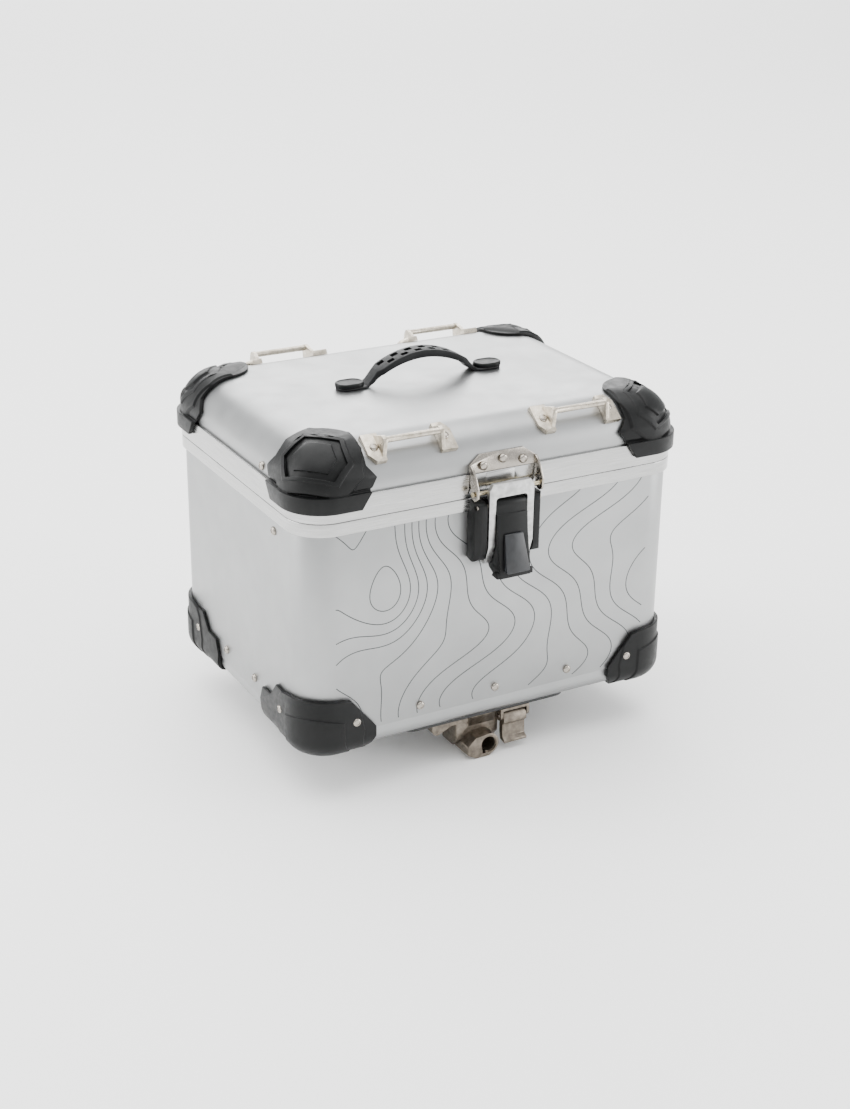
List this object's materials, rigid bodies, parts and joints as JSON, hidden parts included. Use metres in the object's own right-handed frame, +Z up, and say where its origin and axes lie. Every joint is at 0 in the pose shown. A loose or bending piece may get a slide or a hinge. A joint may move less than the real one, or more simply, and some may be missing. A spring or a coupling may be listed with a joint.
{
  "type": "motorcycle top case",
  "caption": "Riveted aluminium luggage box for a motorcycle rack, with a domed hinged lid, front toggle latch, carrying handle, tie-down bars and a quick-release foot.",
  "frame": {"origin": "middle of the surface that the case stands on, under the centre of its box", "axes": "+Z up, the latch faces -Y, +X to the right of someone facing the latch"},
  "size_m": [0.436, 0.3656, 0.395],
  "materials": {
    "anodised_sheet": "satin clear anodised 1.5 mm sheet with a fine rolled grain",
    "rim_aluminium": "brushed lengthwise and clear anodised",
    "stainless_steel": "satin stainless steel",
    "nickel_casting": "nickel plated casting with a slightly pebbled skin",
    "cast_frame": "bright die-cast aluminium, tumbled",
    "mount_casting": "bare die-cast alloy, grey with a warm cast",
    "black_plastic": "glass-filled nylon with a fine moulded texture",
    "black_steel": "black powder coat",
    "seal_rubber": "foam rubber"
  },
  "bodies": {
    "case": {"body_shell": "anodised_sheet", "bottom_tray": "anodised_sheet", "body_rim": "rim_aluminium", "front_rivet_1": "stainless_steel", "front_rivet_2": "stainless_steel", "front_rivet_3": "stainless_steel", "rear_rivet_1": "stainless_steel", "rear_rivet_2": "stainless_steel", "rear_rivet_3": "stainless_steel", "left_rivet_1": "stainless_steel", "left_rivet_2": "stainless_steel", "right_rivet_1": "stainless_steel", "right_rivet_2": "stainless_steel", "body_stay_rivet": "stainless_steel", "lower_guard_front_left": "black_plastic", "lower_guard_front_right": "black_plastic", "lower_guard_rear_left": "black_plastic", "lower_guard_rear_right": "black_plastic", "hinge_body_leaf": "stainless_steel", "hinge_pin": "stainless_steel", "latch_base": "black_plastic", "lever_pivot_pin": "stainless_steel", "mount_plate": "black_steel", "plate_bolt_1": "stainless_steel", "plate_bolt_2": "stainless_steel", "plate_bolt_3": "stainless_steel", "plate_bolt_4": "stainless_steel", "release_housing": "mount_casting", "release_bracket": "mount_casting", "release_pin": "stainless_steel", "rear_hook_left": "black_steel", "rear_hook_right": "black_steel"},
    "lid": {"lid_shell": "anodised_sheet", "lid_rim": "rim_aluminium", "lid_seal": "seal_rubber", "upper_guard_front_left": "black_plastic", "upper_guard_front_right": "black_plastic", "upper_guard_rear_left": "black_plastic", "upper_guard_rear_right": "black_plastic", "keeper_bracket": "stainless_steel", "keeper_pin": "stainless_steel", "keeper_rivet_1": "stainless_steel", "keeper_rivet_2": "stainless_steel", "keeper_rivet_3": "stainless_steel", "lid_stay_rivet": "stainless_steel", "handle_strap": "black_plastic", "handle_foot_left": "black_plastic", "handle_foot_right": "black_plastic", "tie_down_front_left": "nickel_casting", "tie_down_front_right": "nickel_casting", "tie_down_rear_left": "nickel_casting", "tie_down_rear_right": "nickel_casting", "hinge_lid_leaf": "stainless_steel"},
    "lever": {"latch_lever": "black_plastic", "frame_pivot_pin": "stainless_steel"},
    "frame": {"latch_frame": "cast_frame"},
    "cover": {"lock_cover": "black_plastic"},
    "lock": {"lock_cylinder": "stainless_steel"},
    "paddle": {"release_paddle": "mount_casting"},
    "catch": {"release_catch": "stainless_steel"}
  },
  "joints": [
    {"name": "lid_hinge", "type": "hinge", "parent": "case", "child": "lid", "pos_m": [0, 0.17958, 0.2967], "axis": [-1, 0, 0], "range_deg": [0, 100]},
    {"name": "latch_pull", "type": "hinge", "parent": "case", "child": "lever", "pos_m": [0, -0.15927, 0.29], "axis": [-1, 0, 0], "range_deg": [0, 75]},
    {"name": "frame_swing", "type": "hinge", "parent": "lever", "child": "frame", "pos_m": [0, -0.15377, 0.234], "axis": [-1, 0, 0], "range_deg": [-75, 0]},
    {"name": "cover_lift", "type": "hinge", "parent": "lever", "child": "cover", "pos_m": [0, -0.17037, 0.262], "axis": [-1, 0, 0], "range_deg": [0, 95]},
    {"name": "lock_turn", "type": "hinge", "parent": "lever", "child": "lock", "pos_m": [0, -0.165, 0.243], "axis": [0, -1, 0], "range_deg": [0, 90]},
    {"name": "paddle_pull", "type": "hinge", "parent": "case", "child": "paddle", "pos_m": [0.033, -0.12677, 0.038], "axis": [-1, 0, 0], "range_deg": [0, 60]},
    {"name": "catch_slide", "type": "slide", "parent": "case", "child": "catch", "axis": [0, -1, 0], "range_m": [0, 0.008]}
  ],
  "couplings": [
    {"joint": "frame_swing", "follows": "latch_pull", "ratio": -1},
    {"joint": "catch_slide", "follows": "paddle_pull", "m_per_rad": 0.0076}
  ]
}
